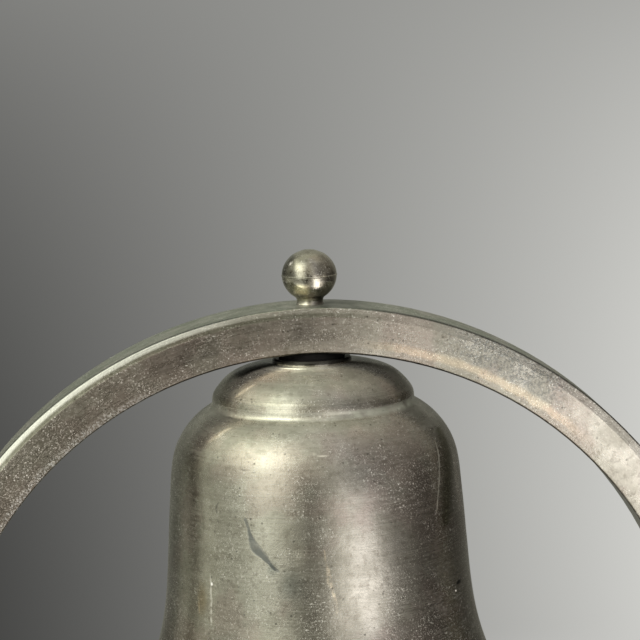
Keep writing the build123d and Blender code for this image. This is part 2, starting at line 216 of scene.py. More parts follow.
def aged_metal(name, light, dull, lines, rough=(0.20, 0.36), grain=1.0, dust=0.5, patina=0.0,
               warm=None, stain=0.42, marks=None):
    """Worn plated or bare metal. lines(graph) gives the vector along which its brushed noise is drawn out."""
    g = Graph(name)
    wide = g.noise(g.place, 38.0, 3.0, 0.55)
    middle = g.noise(g.place, 190.0, 4.0, 0.6)
    fine = g.noise(g.place, 2100.0, 3.0, 0.6)
    finer = g.noise(g.place, 5200.0, 2.0, 0.6)
    brushed = g.noise(lines(g), 1.0, 3.0, 0.65)

    tarnish = g.band(g.plus(g.times(wide, 0.5), g.times(middle, 0.5)), 0.38, 0.64)
    colour = g.mix(tarnish, light, dull)
    if warm is not None:
        cloud = g.noise(g.moved(g.place, 0.31, 0.12, 0.07), 60.0, 4.0, 0.6)
        colour = g.mix(g.times(g.band(cloud, 0.46, 0.60), WARM_SHARE), colour, warm)
    mottle = g.noise(g.moved(g.place, 0.11, 0.42, 0.27), 800.0, 3.0, 0.6)
    colour = g.mix(g.times(g.band(mottle, 0.50, 0.68), stain), colour, STAIN)
    colour = g.mix(g.times(g.band(brushed, 0.50, 0.66), SCRATCH_SHARE), colour, DUST)
    colour = g.mix(g.times(g.band(brushed, 0.46, 0.34), LINE_SHARE), colour, LINE_DARK)
    up = g.band(g.parts(g.normal)[2], 0.25, 0.85)
    film = g.times(g.times(up, g.band(middle, 0.25, 0.6, 0.55, 1.0)), patina)
    speckled = g.mix(g.band(g.noise(g.place, 2600.0, 3.0, 0.7), 0.40, 0.62), PATINA_DARK, PATINA)
    colour = g.mix(film, colour, speckled)

    dark = g.times(g.specks(g.place, 900.0, 0.30, 0.12), PIT_SHARE)
    colour = g.mix(dark, colour, PIT)
    flecks = g.band(g.noise(g.moved(g.place, 0.5, 0.9, 0.2), 1900.0, 3.0, 0.7), 0.605, 0.685)
    small = g.band(g.noise(g.moved(g.place, 0.8, 0.1, 0.6), 4200.0, 2.0, 0.6), 0.60, 0.68)
    patches = g.band(g.noise(g.place, 90.0, 3.0), 0.34, 0.62, 0.30, 1.0)
    dusty = g.most(g.times(flecks, 0.85), g.times(small, 0.65))
    dusty = g.most(dusty, g.times(g.specks(g.place, 420.0, 0.11, 0.08), 0.9))
    dusty = g.most(dusty, g.times(g.specks(g.place, 1050.0, 0.17, 0.5), 1.25))
    dusty = g.math("MULTIPLY", g.times(dusty, patches), dust, clamp=True)
    colour = g.mix(dusty, colour, DUST)

    matt = g.plus(g.times(middle, 0.5), g.times(brushed, 0.5))
    roughness = g.band(matt, 0.3, 0.7, rough[0], rough[1])
    roughness = g.plus(roughness, g.times(film, 0.14))
    roughness = g.blend(dusty, roughness, 0.8)
    metallic = g.math("SUBTRACT", 1.0, g.most(dusty, g.times(film, 0.55)), clamp=True)

    relief = g.plus(g.times(fine, 0.9 * grain), g.times(finer, 0.5 * grain))
    relief = g.plus(relief, g.times(brushed, 0.65))
    relief = g.plus(relief, g.times(dusty, 0.8))
    relief = g.math("SUBTRACT", relief, dark)
    finish = Finish(colour, roughness, metallic, relief)
    if marks is not None:
        marks(g, finish)
    g.set(Base_Color=finish.colour, Metallic=finish.metallic, Roughness=finish.roughness,
          Normal=g.bump(finish.relief, METAL_BUMP, METAL_BUMP_DEPTH, finish.tilt))
    return g.material


def turned_lines(g):
    """Rings round the Z axis: slow all the way round, quick along Z."""
    return g.scaled(g.place, 60.0, 60.0, 2500.0)


def arch_place(g):
    """Distance from the arch's centre in metres, the angle from its crown (+ to the right), and y.
    Down the straight legs the angle stays as it is where the arch springs."""
    x, y, z = g.parts(g.place)
    rise = g.math("MAXIMUM", g.math("SUBTRACT", z, SPRING_Z), 0.0)
    radius = g.math("SQRT", g.plus(g.times(x, x), g.times(rise, rise)))
    return radius, g.math("ARCTAN2", x, rise), y


def arch_lines(g):
    """Marks along the bent bar: slow along its curve, quick across it."""
    radius, angle, y = arch_place(g)
    along = g.plus(g.times(angle, 7.0), g.times(g.parts(g.place)[2], 20.0))
    return g.vector(g.times(radius, 2500.0), g.times(y, 2500.0), along)


def flat_lines(g):
    """Marks that run along X."""
    return g.scaled(g.place, 60.0, 3600.0, 60.0)


def upright_lines(g):
    """Marks that run along Z."""
    return g.scaled(g.place, 3000.0, 3000.0, 80.0)


# ---------------------------------------------------------------- marks of wear
def bell_marks(g, finish):
    """Scratches, a crease and pits, with painted shade, painted highlights and painted reflections, placed by the
    angle from the front (+ to the right) and by the height in millimetres."""
    x, y, z = g.parts(g.place)
    turn = g.times(g.math("ARCTAN2", x, g.times(y, -1.0)), 180 / math.pi)
    wobble = g.noise(g.place, 420.0, 3.0, 0.6)
    ripple = g.times(g.math("SUBTRACT", wobble, 0.5), 1.6)
    turn = g.plus(turn, ripple)
    height = g.plus(g.times(z, 1000.0), g.times(ripple, 0.35))

    def spot(at, level, half_turn, half_height, soft=0.6):
        """An oval at a turn in degrees and a height in millimetres."""
        across = g.math("DIVIDE", g.math("SUBTRACT", turn, at), half_turn)
        along = g.math("DIVIDE", g.math("SUBTRACT", height, level), half_height)
        away = g.math("SQRT", g.plus(g.times(across, across), g.times(along, along)))
        return g.band(away, 1.0, 1.0 - soft)

    def line(path, soft=0.5):
        """A mark that follows (height, turn, half width in degrees) from its lowest point to its highest.
        A curve node holds values from 0 to 1, so turns go in as shares of 180 and widths as shares of 10."""
        low, high = path[0][0], path[-1][0]
        share = g.math("DIVIDE", g.math("SUBTRACT", height, low), high - low, clamp=True)
        centre = g.curve(share, [((h - low) / (high - low), (t + 90) / 180) for h, t, _ in path])
        width = g.curve(share, [((h - low) / (high - low), w / 10) for h, _, w in path])
        centre = g.math("SUBTRACT", g.times(centre, 180.0), 90.0)
        away = g.math("ABSOLUTE", g.math("SUBTRACT", turn, centre))
        inside = g.band(g.math("DIVIDE", away, g.plus(g.times(width, 10.0), 0.001)), 1.0, 1.0 - soft)
        ends = g.times(g.band(height, low - 0.2, low + 0.3), g.band(height, high + 0.2, high - 0.3))
        return g.times(inside, ends)

    # Painted shade on the sides, and the arch's painted shadow on the crown's left.
    finish.shade(g, g.band(turn, 44.0, 62.0), 0.72)
    finish.shade(g, g.band(turn, -58.0, -74.0), 0.80)
    arch_shadow = g.times(g.band(height, 144.2, 145.4), g.band(turn, -60.0, -69.0))
    finish.shade(g, arch_shadow, 0.08)
    # A painted highlight on the crown's top left.
    crown_highlight = g.times(g.band(turn, -72.0, -56.0), g.band(turn, 2.0, -34.0))
    finish.shade(g, g.times(crown_highlight, g.band(height, 144.2, 145.6)), 1.5)
    # A painted highlight streak round the crown's top.
    streak = g.times(g.band(height, 146.3, 146.6), g.band(height, 147.02, 146.9))
    finish.shade(g, g.times(streak, g.band(turn, 40.0, -10.0)), 1.55)
    # Painted shade on the stud's boss and on the back of the crown, in the dark gap under the arch.
    finish.shade(g, g.times(g.band(height, 147.05, 147.35), g.band(height, 148.7, 148.4)), 0.14)
    finish.shade(g, g.times(g.band(height, 145.6, 146.8), g.band(y, -3.0 * MM, 1.0 * MM)), 0.30)
    # Round the stud the crown swells a little, which turns it towards the lights in front.
    radius = g.math("SQRT", g.plus(g.times(x, x), g.times(y, y)))
    swell = g.math("DIVIDE", g.math("SUBTRACT", 18.0 * MM, radius), 9.0 * MM, clamp=True)
    swell = g.times(g.times(swell, swell), g.band(height, 143.0, 144.0))
    ring = g.times(g.band(radius, 11.3 * MM, 10.3 * MM), g.band(height, 144.0, 145.0))
    finish.tilt = g.bump(g.plus(g.times(swell, 0.0034), g.times(ring, 0.0006)), 1.0, 1.0)
    # The green line that stays in the groove.
    groove = g.times(g.band(height, 137.0, 138.0), g.band(height, 139.4, 138.6))
    groove = g.times(groove, g.band(wobble, 0.30, 0.62, 0.35, 1.0))
    finish.coat(g, g.times(groove, g.band(turn, -6.0, 20.0, 0.12, 0.42)), (0.34, 0.38, 0.28), 0.55)
    rings = g.band(g.noise(g.scaled(g.place, 20.0, 20.0, 6500.0), 1.0, 2.0), 0.52, 0.62)
    rings = g.times(rings, g.times(g.band(height, 138.6, 139.4), g.band(height, 142.6, 141.6)))
    finish.shade(g, g.times(rings, 0.6), 0.70)
    # A painted highlight on the band round the groove.
    below = g.times(g.band(height, 136.6, 138.2), g.band(height, 140.4, 139.2))
    finish.shade(g, g.times(below, g.band(turn, 34.0, 2.0)), 1.4)
    # Two burnished dents of the shoulders that catch a lamp; their colour is also lightened as a painted glint.
    for path in (((141.5, -53.6, 1.2), (142.9, -49.8, 3.2), (144.3, -44.4, 1.6)),
                 ((132.2, -56.0, 1.2), (133.7, -52.4, 3.4), (135.6, -47.0, 1.6))):
        glint = line(path, 0.9)
        finish.roughness = g.blend(glint, finish.roughness, 0.07)
        finish.shade(g, glint, 1.7)
    # A crease: a dent cut into the relief and darkened in its colour as painted shade; darker patches run on
    # below it.
    crease = line(((106.6, -17.2, 0.8), (108.8, -21.0, 1.5), (110.0, -23.2, 2.7), (111.2, -25.4, 3.2),
                   (112.6, -26.9, 2.4), (114.6, -28.2, 1.3), (117.9, -30.4, 0.6)), 0.6)
    crease = g.times(crease, g.band(wobble, 0.30, 0.60, 0.55, 1.0))
    finish.coat(g, g.times(crease, 0.30), (0.10, 0.11, 0.11), 0.45)
    finish.shade(g, crease, (0.45, 0.48, 0.50))
    finish.relief = g.math("SUBTRACT", finish.relief, g.times(crease, 1.6))
    finish.shade(g, spot(-19.5, 107.4, 3.2, 2.4, 0.95), (0.70, 0.73, 0.74))
    finish.shade(g, spot(-12.5, 104.0, 7.0, 5.0, 0.95), (0.74, 0.77, 0.79))
    finish.shade(g, spot(-9.0, 110.6, 4.0, 3.6, 0.95), 1.35)
    finish.shade(g, spot(-27.0, 121.6, 9.0, 5.0, 0.95), 1.08)
    finish.shade(g, g.times(spot(-38.0, 89.0, 16.0, 6.0, 0.95), 0.8), 0.78)
    finish.shade(g, g.times(spot(17.0, 89.0, 9.0, 6.0, 0.95), 0.8), 0.75)
    # Painted reflections on the right: an upright light edge, an olive band beyond it, and a lighter patch past
    # that.
    band = line(((112.0, 54.6, 4.0), (116.0, 56.6, 6.4), (124.0, 62.0, 7.4), (132.5, 68.0, 7.4)), 0.85)
    finish.shade(g, band, (0.50, 0.50, 0.41))
    edge = line(((115.7, 48.8, 0.55), (122.0, 52.4, 0.65), (130.6, 57.8, 0.55)), 0.9)
    finish.coat(g, g.times(edge, 0.34), (0.40, 0.39, 0.29), 0.5)
    finish.shade(g, spot(70.0, 120.0, 4.5, 9.0, 0.8), 1.35)
    # Short marks and scratches.
    finish.shade(g, g.times(spot(-31.5, 128.1, 3.6, 0.26, 0.9), 0.8), 0.55)
    finish.shade(g, g.times(spot(-27.5, 127.6, 1.6, 0.22, 0.9), 0.8), 0.6)
    finish.shade(g, line(((118.2, -43.0, 0.5), (119.4, -43.4, 0.7), (120.6, -42.6, 0.5)), 0.9), 0.5)
    finish.shade(g, line(((116.2, -42.2, 0.5), (117.0, -42.8, 0.6)), 0.9), 0.6)
    finish.coat(g, g.times(spot(0.3, 131.1, 3.4, 0.24, 0.8), 0.65), (0.70, 0.66, 0.54), 0.5)
    finish.coat(g, g.times(spot(-3.0, 131.5, 1.0, 0.5, 0.9), 0.4), (0.66, 0.62, 0.50), 0.5)
    broken = g.band(g.noise(g.place, 900.0, 2.0), 0.42, 0.54, 0.15, 0.85)
    upright = line(((94.0, -45.2, 0.5), (100.0, -45.7, 0.7), (104.4, -46.2, 0.5)), 0.9)
    finish.coat(g, g.times(g.times(upright, broken), 0.7), (0.66, 0.64, 0.54), 0.5)
    for low, high, at in ((101.0, 107.4, 1.6), (97.5, 103.0, 2.8), (103.4, 111.5, 0.2), (95.5, 99.0, -52.0)):
        streak = line(((low, at + 0.5, 0.5), ((low + high) / 2, at, 0.8), (high, at - 0.7, 0.5)), 0.9)
        finish.shade(g, g.times(streak, broken), (1.7, 1.6, 1.5))
    finish.shade(g, spot(-50.5, 98.6, 4.4, 5.6, 0.9), (0.84, 0.76, 0.64))
    finish.coat(g, spot(-45.4, 102.5, 0.8, 0.45), (0.9, 0.88, 0.8), 0.6)
    finish.shade(g, spot(60.8, 98.5, 2.6, 0.55, 0.5), 0.02)
    finish.coat(g, spot(57.6, 97.0, 0.7, 0.3), (0.85, 0.8, 0.7), 0.6)


def arch_marks(g, finish):
    """Dull and warm to the left of the crown, burnished to the right, with a rolled lower edge, and painted
    highlights and shade on its edges and underside.
    """
    radius, angle, y = arch_place(g)
    x = g.parts(g.place)[0]
    level = g.times(radius, 1000.0)
    degrees = g.times(angle, 180 / math.pi)
    front = g.band(g.parts(g.normal)[1], -0.5, -0.8)
    right = g.times(g.band(degrees, 0.0, 16.0), front)
    left = g.times(g.band(degrees, 16.0, 0.0), front)
    face = g.band(level, 94.0, 93.7)
    finish.shade(g, g.times(left, face), (0.71, 0.675, 0.665))
    edge = g.times(g.math("SUBTRACT", 1.0, face), g.band(level, 95.2, 94.5))
    finish.shade(g, g.times(left, edge), (0.56, 0.57, 0.53))
    finish.shade(g, right, 1.20)
    clouds = g.band(g.noise(g.place, 120.0, 3.0), 0.30, 0.62)
    duller = g.times(g.times(g.band(level, 88.2, 89.6), g.band(level, 93.8, 93.2)), clouds)
    duller = g.times(duller, g.times(g.band(degrees, -28.0, -18.0), g.band(degrees, 6.0, -2.0)))
    finish.shade(g, g.times(duller, front), 0.66)
    lighter = g.times(g.band(degrees, -16.0, -7.0), g.band(degrees, 6.0, 1.0))
    lighter = g.times(lighter, g.times(g.band(level, 88.4, 86.8), front))
    finish.shade(g, lighter, 1.30)
    # Painted shade on the faces that look down.
    finish.shade(g, g.band(g.parts(g.normal)[2], -0.1, -0.6), 0.30)
    finish.shade(g, g.times(g.band(level, 95.8, 95.95), g.band(degrees, 6.0, -6.0)), 0.86)
    neck_shade = g.times(g.band(x, 1.5 * MM, 3.2 * MM), g.band(x, 20.0 * MM, 7.0 * MM))
    finish.shade(g, g.times(neck_shade, g.band(level, 95.8, 95.95)), 0.45)
    # A worn outer edge on the left, also lit as a painted highlight, with painted shade on its fillet; painted
    # shade on the front edge on the right; a painted highlight on the bevel's step on the left; painted shade on
    # the lower edge.
    worn_edge_highlight = g.times(g.band(level, 94.5, 95.2), g.band(level, 95.95, 95.70))
    worn_edge_highlight = g.times(worn_edge_highlight, g.band(y, -7.0 * MM, -7.6 * MM))
    worn_edge_highlight = g.times(worn_edge_highlight, g.band(degrees, -4.0, -20.0))
    finish.colour = g.mix(worn_edge_highlight, finish.colour, (0.98, 0.965, 0.88))
    finish.metallic = g.most(finish.metallic, worn_edge_highlight)
    finish.roughness = g.blend(worn_edge_highlight, finish.roughness, 0.28)
    upper = g.band(level, 95.60, 95.80)
    rim = g.times(g.band(y, -6.6 * MM, -7.2 * MM), g.band(degrees, -4.0, -14.0))
    finish.shade(g, g.times(upper, rim), 0.26)
    top_front = g.times(g.band(y, -8.0 * MM, -7.6 * MM), g.band(y, -5.4 * MM, -6.4 * MM))
    finish.shade(g, g.times(g.times(upper, top_front), g.band(degrees, 3.0, 12.0)), 0.30)
    step = g.times(g.band(level, 93.55, 93.75), g.band(level, 94.10, 93.92))
    finish.shade(g, g.times(g.times(step, left), g.band(degrees, -12.0, -22.0)), 1.35)
    finish.shade(g, g.times(g.band(level, 86.02, 85.78), front), 0.30)
    # A painted highlight streak along the lower right, and the dark pitted patch above it.
    uneven = g.noise(g.place, 260.0, 3.0)
    ripple = g.plus(level, g.times(g.math("SUBTRACT", uneven, 0.5), 1.8))
    streak = g.times(g.band(ripple, 86.9, 87.8), g.band(ripple, 89.6, 88.4))
    streak = g.times(g.times(streak, g.times(g.band(degrees, 4.0, 16.0), g.band(degrees, 46.0, 36.0))), front)
    finish.shade(g, streak, (1.40, 1.30, 1.19))
    pitted = g.times(g.band(degrees, 15.0, 24.0), g.band(degrees, 40.0, 34.0))
    pitted = g.times(g.times(pitted, g.band(ripple, 88.9, 90.3)), front)
    holes = g.band(g.noise(g.place, 1800.0, 3.0, 0.7), 0.47, 0.58)
    finish.shade(g, g.times(pitted, g.plus(g.times(holes, 0.7), 0.3)), (0.60, 0.63, 0.67))
    finish.relief = g.math("SUBTRACT", finish.relief, g.times(g.times(pitted, holes), 1.5))
    crust = g.band(g.noise(g.place, 2300.0, 3.0, 0.7), 0.50, 0.58)
    low_left = g.times(g.band(degrees, -18.0, -32.0), g.band(ripple, 88.0, 86.6))
    finish.coat(g, g.times(g.times(crust, low_left), g.times(front, 0.45)), (0.56, 0.56, 0.54), 0.8)
    drop = g.math("MAXIMUM", g.math("SUBTRACT", 91.0, level), 0.0)
    rolled = g.times(g.times(drop, drop), -0.000022)
    finish.tilt = g.bump(g.times(rolled, right), 1.0, 1.0)


def ball_marks(g, finish):
    """Tarnish spots round the middle, a painted yellow reflection below the seam, a painted highlight to its
    right, and painted shade on the top, the left edge and the neck.
    """
    x, _, z = g.parts(g.place)
    level = g.times(g.math("SUBTRACT", z, BALL_Z), 1000.0)
    blots = g.band(g.noise(g.place, 1100.0, 3.0, 0.6), 0.55, 0.66)
    middle = g.times(g.band(level, -3.4, -1.5), g.band(level, 3.4, 1.5))
    # A painted yellow reflection below the seam on the left.
    glow = g.times(g.times(g.band(level, -4.4, -3.2), g.band(level, -1.2, -2.2)),
                   g.times(g.band(x, 0.2 * MM, -1.2 * MM), g.band(x, -4.2 * MM, -2.8 * MM)))
    tarnished = g.times(blots, g.blend(middle, 0.25, 0.75))
    finish.shade(g, g.times(tarnished, g.math("SUBTRACT", 1.0, glow)), (0.45, 0.42, 0.36))
    finish.shade(g, glow, (2.05, 1.95, 1.70))
    # Painted shade on the top and on the left edge.
    finish.shade(g, g.band(level, 1.2, 3.4), 0.80)
    finish.shade(g, g.times(g.band(x, -2.9 * MM, -3.8 * MM), g.band(level, -0.5, 0.8)), 0.42)
    # A painted highlight below the seam on the right.
    painted_highlight = g.times(g.times(g.band(level, -3.0, -2.4), g.band(level, 0.9, 0.3)),
                       g.times(g.band(x, 0.2 * MM, 0.9 * MM), g.band(x, 3.8 * MM, 3.0 * MM)))
    finish.shade(g, painted_highlight, 1.6)
    # Painted shade on the right of the neck.
    neck = g.times(g.band(level, -4.2, -4.8), g.band(x, 0.2 * MM, 1.8 * MM))
    finish.shade(g, neck, 0.45)


dress(aged_metal("nickel_bell", NICKEL_LIGHT, NICKEL_DULL, turned_lines, rough=(0.18, 0.31), grain=1.4,
                 dust=0.52, patina=0.35, warm=NICKEL_WARM, marks=bell_marks), "bell_shell")
dress(aged_metal("nickel_arch", NICKEL_LIGHT, NICKEL_DULL, arch_lines, rough=(0.22, 0.36), grain=1.7,
                 dust=0.95, patina=0.9, warm=NICKEL_WARM, stain=0.44, marks=arch_marks), "arch_bar")
dress(aged_metal("nickel_ball", (0.50, 0.465, 0.385), (0.33, 0.305, 0.245), turned_lines, rough=(0.13, 0.22),
                 grain=0.6, dust=0.35, patina=0.15, marks=ball_marks), "finial_ball")
dress(aged_metal("nickel_plate_base", NICKEL_LIGHT, NICKEL_DULL, flat_lines, rough=(0.24, 0.40), grain=0.8,
                 dust=0.5, patina=0.35, warm=NICKEL_WARM), "base_plate")
dress(aged_metal("nickel_trim", NICKEL_LIGHT, NICKEL_DULL, flat_lines, rough=(0.20, 0.34), grain=0.6,
                 dust=0.4, patina=0.35), "leg_collar_left", "leg_collar_right", "plate_screws", "finger_knob")

dress(aged_metal("drawn_steel", (0.56, 0.56, 0.56), (0.36, 0.35, 0.34), upright_lines, rough=(0.24, 0.42),
                 grain=0.6, dust=0.2), "hanger_stud", "clapper_rod", "pivot_pin", "pin_clip")
dress(aged_metal("zinc_steel", (0.60, 0.61, 0.63), (0.40, 0.41, 0.43), turned_lines, rough=(0.32, 0.50),
                 grain=0.8, dust=0.2), "leg_screws", "leg_washers", "crown_washer")
dress(aged_metal("dull_brass", (0.72, 0.50, 0.22), (0.36, 0.24, 0.11), turned_lines, rough=(0.22, 0.42),
                 grain=0.7, dust=0.2), "crown_nut", "thrust_washer", "swivel_nut", "swivel_lock_nut",
      "clapper_fork", "clapper_bush", "striker", "striker_nut")


# ---------------------------------------------------------------- fibre, wood and cork
# Black fibre, made nearly black and dull, so that on the spacer under the arch it also stands in as painted shade
# in the gap.
def black_fibre():
    g = Graph("black_fibre")
    weave = g.noise(g.scaled(g.place, 1.0, 1.0, 3.0), 900.0, 4.0, 0.6)
    g.set(Base_Color=g.mix(weave, (0.003, 0.003, 0.003), (0.012, 0.011, 0.010)), Roughness=0.85,
          Normal=g.bump(weave, 0.4, 0.0001))
    g.shader.inputs["Specular IOR Level"].default_value = 0.12
    return g.material


def walnut():
    """Oiled walnut; the grain runs along the base."""
    g = Graph("walnut")
    x, y, z = g.parts(g.place)
    sway = g.noise(g.scaled(g.place, 14.0, 30.0, 30.0), 1.0, 2.0)
    depth = g.plus(g.plus(y, g.times(z, 0.6)), g.times(g.math("SUBTRACT", sway, 0.5), 0.030))
    rings = g.noise(g.vector(g.times(x, 5.0), g.times(depth, 330.0), 0.0), 1.0, 2.0, 0.55)
    streaks = g.noise(g.vector(g.times(x, 26.0), g.times(depth, 1500.0), g.times(z, 500.0)), 1.0, 3.0, 0.6)
    figure = g.noise(g.scaled(g.place, 9.0, 26.0, 26.0), 1.0, 3.0, 0.6, 0.6)
    colour = g.mix(g.band(rings, 0.34, 0.66), (0.020, 0.0095, 0.0055), (0.078, 0.037, 0.019))
    colour = g.mix(g.times(g.band(figure, 0.40, 0.68), 0.6), colour, (0.052, 0.023, 0.012))
    colour = g.mix(g.times(g.band(streaks, 0.46, 0.66), 0.55), colour, (0.014, 0.007, 0.004))
    pores = g.noise(g.scaled(g.place, 110.0, 1900.0, 1900.0), 1.0, 2.0, 0.6)
    pored = g.band(pores, 0.58, 0.70)
    colour = g.mix(g.times(pored, 0.7), colour, (0.009, 0.0045, 0.003))
    wear = g.noise(g.place, 420.0, 3.0)
    relief = g.math("SUBTRACT", g.times(wear, 0.15), g.plus(g.times(pored, 0.8), g.times(streaks, 0.3)))
    g.set(Base_Color=colour, Roughness=g.band(wear, 0.3, 0.7, 0.34, 0.48), Normal=g.bump(relief, 0.3, 0.0001))
    g.shader.inputs["Coat Weight"].default_value = 0.15
    g.shader.inputs["Coat Roughness"].default_value = 0.25
    return g.material


def cork():
    g = Graph("cork")
    cells = g.node("ShaderNodeTexVoronoi", feature="F1")
    g.put(cells.inputs["Vector"], g.place)
    g.put(cells.inputs["Scale"], 520.0)
    grain = g.parts(cells.outputs["Color"])[0]
    colour = g.mix(grain, (0.30, 0.185, 0.10), (0.56, 0.40, 0.25))
    colour = g.mix(g.times(g.specks(g.place, 400.0, 0.32, 0.14), 0.9), colour, (0.085, 0.045, 0.025))
    g.set(Base_Color=colour, Roughness=0.9, Normal=g.bump(cells.outputs["Distance"], 0.5, 0.0002))
    return g.material


dress(black_fibre(), "spacer_washer", "cushion_washer")
dress(walnut(), "base_plinth")
dress(cork(), "base_pad")

# ---------------------------------------------------------------- camera
CAMERA_PITCH = math.radians(7.82)  # looks down
CAMERA_YAW = math.radians(2.96)  # stands a little to the left and looks to the right
CAMERA_ROLL = math.radians(-1.78)
CAMERA_DISTANCE = 0.444
CAMERA_LENS = 112.4
aim = Vector((1.7 * MM, BAR_FRONT_Y, SPRING_Z + 93.25 * MM))


def make_camera():
    ahead = Vector((math.sin(CAMERA_YAW) * math.cos(CAMERA_PITCH),
                    math.cos(CAMERA_YAW) * math.cos(CAMERA_PITCH), -math.sin(CAMERA_PITCH)))
    level = Vector((math.cos(CAMERA_YAW), -math.sin(CAMERA_YAW), 0))
    above = level.cross(ahead)
    right = level * math.cos(CAMERA_ROLL) + above * math.sin(CAMERA_ROLL)
    up = above * math.cos(CAMERA_ROLL) - level * math.sin(CAMERA_ROLL)
    data = bpy.data.cameras.new("camera")
    data.sensor_width = 36.0
    data.lens = CAMERA_LENS
    data.clip_start = 0.01
    camera = bpy.data.objects.new("camera", data)
    camera.matrix_world = Matrix((
        (right.x, up.x, -ahead.x, aim.x - ahead.x * CAMERA_DISTANCE),
        (right.y, up.y, -ahead.y, aim.y - ahead.y * CAMERA_DISTANCE),
        (right.z, up.z, -ahead.z, aim.z - ahead.z * CAMERA_DISTANCE),
        (0, 0, 0, 1),
    ))
    bpy.context.scene.collection.objects.link(camera)
    bpy.context.scene.camera = camera


make_camera()


# ---------------------------------------------------------------- studio: floor, light tent and lamps
def mesh_object(name, vertices, faces, material):
    data = bpy.data.meshes.new(name)
    data.from_pydata(vertices, [], faces)
    for face in data.polygons:
        face.use_smooth = True
    data.materials.append(material)
    made = bpy.data.objects.new(name, data)
    bpy.context.scene.collection.objects.link(made)
    return made


def lathe(name, outline, turns, material):
    """A surface turned round the Z axis; azimuth 0 is towards the camera, and grows to the right."""
    points = []
    for step in range(turns):
        azimuth = math.tau * step / turns
        for radius, height in outline:
            points.append((radius * math.sin(azimuth), -radius * math.cos(azimuth), height))
    rows = len(outline)
    faces = []
    for step in range(turns):
        here, there = step * rows, ((step + 1) % turns) * rows
        for row in range(rows - 1):
            faces.append((here + row, there + row, there + row + 1, here + row + 1))
    return mesh_object(name, points, faces, material)


# The backdrop's shading is laid out round a fixed point in front of the bell.
EYE_X, EYE_Y, EYE_Z = -0.021, -0.448, 0.2176
LEFT_EDGE, EDGE_GAP = -0.065, 0.233  # radians: the shading's left edge, and from there to its right edge
EDGE_ROOM = 0.35  # how far past those edges the shading goes on
LEFT_TONE = (0.497, -0.155, 0.047)  # tone at eye level, and what it changes with the slope down and its square
RIGHT_TONE = (0.657, 0.155, -0.078)
TONE_POWER = 2.23
MIDDLE_TURN = 0.05
EVEN_GLOW = 0.60


def paper():
    """Pale paper. Behind the bell, away from it, it darkens to the left and glows evenly, so no edge shows."""
    g = Graph("pale_paper")
    x, y, z = g.parts(g.place)
    from_x, from_y = g.plus(x, -EYE_X), g.plus(y, -EYE_Y)
    away = g.math("SQRT", g.plus(g.times(from_x, from_x), g.times(from_y, from_y)))
    turn = g.math("ARCTAN2", from_x, from_y)
    across = g.math("DIVIDE", g.plus(turn, -LEFT_EDGE), EDGE_GAP)
    across = g.math("MINIMUM", g.math("MAXIMUM", across, -EDGE_ROOM), 1.0 + EDGE_ROOM)
    sink = g.math("DIVIDE", g.math("SUBTRACT", 1.0, g.math("DIVIDE", z, EYE_Z)), away)
    square = g.times(sink, sink)
    left, right = (g.plus(g.plus(g.times(sink, slope), g.times(square, bend)), level)
                   for level, slope, bend in (LEFT_TONE, RIGHT_TONE))
    tone = g.plus(left, g.times(g.math("SUBTRACT", right, left), across))
    around = g.math("ABSOLUTE", g.math("SUBTRACT", turn, MIDDLE_TURN))
    behind = g.times(g.band(y, 0.10, 0.28), g.band(around, 0.55, 0.20))
    level = g.blend(behind, EVEN_GLOW, g.math("POWER", tone, TONE_POWER))
    glow = g.node("ShaderNodeEmission")
    g.put(glow.inputs["Color"], g.mix(behind, (1.0, 1.0, 0.995), (1.0, 1.0, 0.955)))
    g.put(glow.inputs["Strength"], level)
    distance = g.math("SQRT", g.plus(g.times(x, x), g.times(y, y)))
    evenly = g.most(behind, g.band(distance, 0.45, 1.3))
    mottle = g.noise(g.place, 6.0, 2.0)
    g.set(Base_Color=g.mix(mottle, (0.60, 0.60, 0.595), (0.64, 0.64, 0.635)), Roughness=0.9)
    both = g.node("ShaderNodeMixShader")
    g.put(both.inputs[0], evenly)
    g.tree.links.new(g.shader.outputs[0], both.inputs[1])
    g.tree.links.new(glow.outputs[0], both.inputs[2])
    g.tree.links.new(both.outputs[0], g.output.inputs[0])
    return g.material


FLOOR_R, WALL_R, WALL_H = 2.4, 3.4, 3.0
COVE_STEPS = 12
COVE_R = WALL_R - FLOOR_R
cove = []
for step in range(COVE_STEPS + 1):
    bend = math.pi / 2 * step / COVE_STEPS
    cove.append((FLOOR_R + COVE_R * math.sin(bend), COVE_R * (1 - math.cos(bend))))
lathe("backdrop", [(0.0, 0.0), (0.3, 0.0), (0.8, 0.0)] + cove + [(WALL_R, WALL_H)], 96, paper())


def glossy_only(piece):
    """A reflector card: metal mirrors it, and it neither shows nor lights or shades anything else."""
    piece.visible_camera = False
    piece.visible_diffuse = False
    piece.visible_shadow = False
    piece.visible_transmission = False
    piece.visible_volume_scatter = False


TENT_R, TENT_Z = 0.42, 0.10
TENT_FLOOR_Z = 0.8 * MM
TENT_TURNS = 144
TENT_STEP = 2.5  # degrees of elevation from one ring of corners to the next, about
# Its brightness is given by rows, from the floor next to the bell (0) outwards over the floor (1, 2), up its wall
# (3 to 6) and overhead (7). The tent's floor as (radius, row), and its wall as (elevation, row).
TENT_FLOOR = ((0.085, 0.0), (0.17, 0.0), (0.21, 0.26), (0.25, 0.52), (0.29, 0.77), (0.325, 1.0), (0.37, 1.4))
TENT_WALL = ((-13.4, 1.75), (-9.7, 2.0), (-1.0, 3.0), (10.0, 4.0), (25.0, 5.0), (47.0, 6.0), (75.0, 7.0),
             (90.0, 7.0))
TENT_EVEN = (0.36, 0.05, 0.04, 0.07, 0.07, 0.14, 0.24, 0.72)  # the tent's own glow at each row
